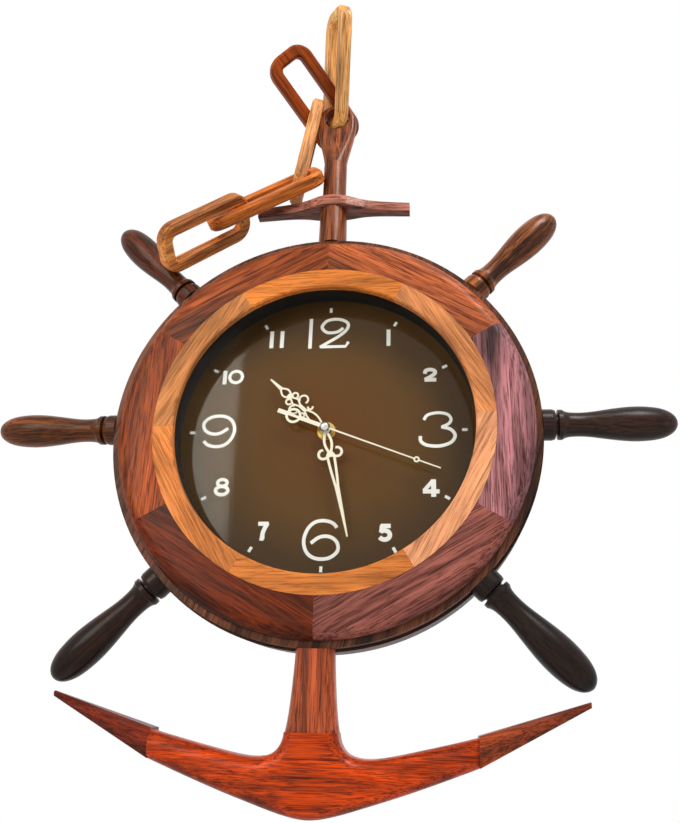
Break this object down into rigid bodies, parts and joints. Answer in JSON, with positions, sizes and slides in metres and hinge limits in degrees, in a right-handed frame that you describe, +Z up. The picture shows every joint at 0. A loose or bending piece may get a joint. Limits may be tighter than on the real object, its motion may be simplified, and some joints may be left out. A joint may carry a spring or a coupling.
{
  "type": "wall clock",
  "caption": "Wooden wall clock shaped as a ship's wheel round a glazed dial, with an anchor through it and a chain.",
  "frame": {"origin": "middle of the hanger plate's hole, at the plate's mid thickness", "axes": "+X to the right seen from the front, +Y into the wall, +Z up; the dial faces -Y"},
  "size_m": [0.534, 0.0809, 0.6793],
  "materials": {
    "dark_wood": "stained dark brown, satin varnish",
    "felloe_wood": "orange to red-brown hardwood, satin varnish",
    "bezel_wood": "light orange-brown hardwood, satin varnish",
    "spoke_wood": "near-black brown, turned and glossy",
    "upper_anchor_wood": "mauve-brown hardwood, satin varnish",
    "rosewood": "orange-red hardwood with fine dark grain, glossy",
    "chain_wood": "golden light brown hardwood, satin",
    "clock_glass": "clear flat glass, polished",
    "black_spacer": "matte black",
    "dial_face": "dark brown-black, semi-matte",
    "hand_white": "cream white enamel",
    "cap_steel": "polished",
    "brass_nut": "bright turned",
    "brass_plate": "satin",
    "steel_screw": "plated",
    "steel_contact": "nickel plated",
    "movement_case": "fine texture moulded",
    "gear_plastic": "moulded",
    "gasket_rubber": "matte",
    "rotor_magnet": "sintered magnet",
    "iron_core": "stamped soft iron",
    "copper_coil": "enamelled copper winding",
    "green_board": "glass-fibre board",
    "battery_jacket": "plain printed jacket, satin"
  },
  "bodies": {
    "clock": {"base_ring": "dark_wood", "band_ring": "dark_wood", "felloe_1": "felloe_wood", "felloe_2": "felloe_wood", "felloe_3": "felloe_wood", "felloe_4": "felloe_wood", "felloe_5": "felloe_wood", "felloe_6": "felloe_wood", "bezel_1": "bezel_wood", "bezel_2": "bezel_wood", "bezel_3": "bezel_wood", "bezel_4": "bezel_wood", "bezel_5": "bezel_wood", "bezel_6": "bezel_wood", "spoke_1": "spoke_wood", "spoke_2": "spoke_wood", "spoke_3": "spoke_wood", "spoke_4": "spoke_wood", "spoke_5": "spoke_wood", "spoke_6": "spoke_wood", "fluke_right": "rosewood", "fluke_left": "rosewood", "glass": "clock_glass", "spacer_ring": "black_spacer", "dial_plate": "dial_face", "wood_screws": "steel_screw", "hanger_plate": "brass_plate", "anchor_stem": "upper_anchor_wood", "anchor_eye": "upper_anchor_wood", "anchor_stock": "upper_anchor_wood", "anchor_shank": "rosewood", "anchor_crown": "rosewood", "rubber_gasket": "gasket_rubber", "case_front": "movement_case", "middle_plate": "movement_case", "back_cover": "movement_case", "washer": "brass_nut", "hex_nut": "brass_nut", "stator": "iron_core", "coil": "copper_coil", "circuit_board": "green_board", "battery": "battery_jacket", "battery_contacts": "steel_contact"},
    "link_1": {"chain_link_1": "chain_wood"},
    "link_2": {"chain_link_2": "chain_wood"},
    "link_3": {"chain_link_3": "chain_wood"},
    "link_4": {"chain_link_4": "chain_wood"},
    "link_5": {"chain_link_5": "chain_wood"},
    "second_hand_arbor": {"seconds_wheel": "gear_plastic", "second_hand": "hand_white", "hand_cap": "cap_steel"},
    "minute_hand_pipe": {"centre_wheel": "gear_plastic", "minute_hand": "hand_white"},
    "hour_hand_pipe": {"hour_wheel": "gear_plastic", "hour_hand": "hand_white"},
    "motion_work": {"motion_wheel": "gear_plastic"},
    "third_arbor": {"third_wheel": "gear_plastic"},
    "fifth_arbor": {"fifth_wheel": "gear_plastic"},
    "motor_rotor": {"rotor": "rotor_magnet"},
    "set_knob": {"setting_knob": "gear_plastic"}
  },
  "joints": [
    {"name": "link_1_swing", "type": "hinge", "parent": "clock", "child": "link_1", "pos_m": [0.0069, -0.03255, 0.1674], "axis": [-0.4579, 0.7919, 0.404], "range_deg": [0, 3]},
    {"name": "link_2_swing", "type": "hinge", "parent": "link_1", "child": "link_2", "pos_m": [-0.0052, -0.02005, 0.1852], "axis": [0.7382, -0.058, 0.6721], "range_deg": [-2, 0]},
    {"name": "link_3_swing", "type": "hinge", "parent": "link_2", "child": "link_3", "pos_m": [-0.0209, -0.02185, 0.1755], "axis": [-0.3841, 0.7831, 0.4891], "range_deg": [0, 15]},
    {"name": "link_4_swing", "type": "hinge", "parent": "link_3", "child": "link_4", "pos_m": [-0.0168, -0.03255, 0.0936], "axis": [-0.3079, 0.6379, 0.7059], "range_deg": [0, 15]},
    {"name": "link_5_swing", "type": "hinge", "parent": "link_4", "child": "link_5", "pos_m": [-0.0844, -0.04185, 0.0547], "axis": [-0.6368, -0.3599, -0.6818], "range_deg": [-10, 15]},
    {"name": "second_hand_turn", "type": "hinge", "parent": "clock", "child": "second_hand_arbor", "pos_m": [0, -0.01925, -0.146], "axis": [0, 1, 0], "continuous": true},
    {"name": "minute_hand_turn", "type": "hinge", "parent": "clock", "child": "minute_hand_pipe", "pos_m": [0, -0.01925, -0.146], "axis": [0, 1, 0], "continuous": true},
    {"name": "hour_hand_turn", "type": "hinge", "parent": "clock", "child": "hour_hand_pipe", "pos_m": [0, -0.01925, -0.146], "axis": [0, 1, 0], "continuous": true},
    {"name": "motion_work_turn", "type": "hinge", "parent": "clock", "child": "motion_work", "pos_m": [-0.00811, -0.01925, -0.14817], "axis": [0, 1, 0], "continuous": true},
    {"name": "third_wheel_turn", "type": "hinge", "parent": "clock", "child": "third_arbor", "pos_m": [0.0068, -0.01925, -0.146], "axis": [0, 1, 0], "continuous": true},
    {"name": "fifth_wheel_turn", "type": "hinge", "parent": "clock", "child": "fifth_arbor", "pos_m": [0.0036, -0.01925, -0.13977], "axis": [0, 1, 0], "continuous": true},
    {"name": "rotor_turn", "type": "hinge", "parent": "clock", "child": "motor_rotor", "pos_m": [0.00045, -0.01925, -0.13431], "axis": [0, 1, 0], "continuous": true},
    {"name": "knob_turn", "type": "hinge", "parent": "clock", "child": "set_knob", "pos_m": [-0.01623, -0.01925, -0.15035], "axis": [0, 1, 0], "continuous": true}
  ],
  "couplings": [
    {"joint": "minute_hand_turn", "follows": "second_hand_turn", "ratio": 0.016667},
    {"joint": "hour_hand_turn", "follows": "second_hand_turn", "ratio": 0.0013889},
    {"joint": "motion_work_turn", "follows": "second_hand_turn", "ratio": -0.0055556},
    {"joint": "knob_turn", "follows": "second_hand_turn", "ratio": 0.016667},
    {"joint": "third_wheel_turn", "follows": "second_hand_turn", "ratio": -0.13333},
    {"joint": "fifth_wheel_turn", "follows": "second_hand_turn", "ratio": -5},
    {"joint": "rotor_turn", "follows": "second_hand_turn", "ratio": 30}
  ]
}
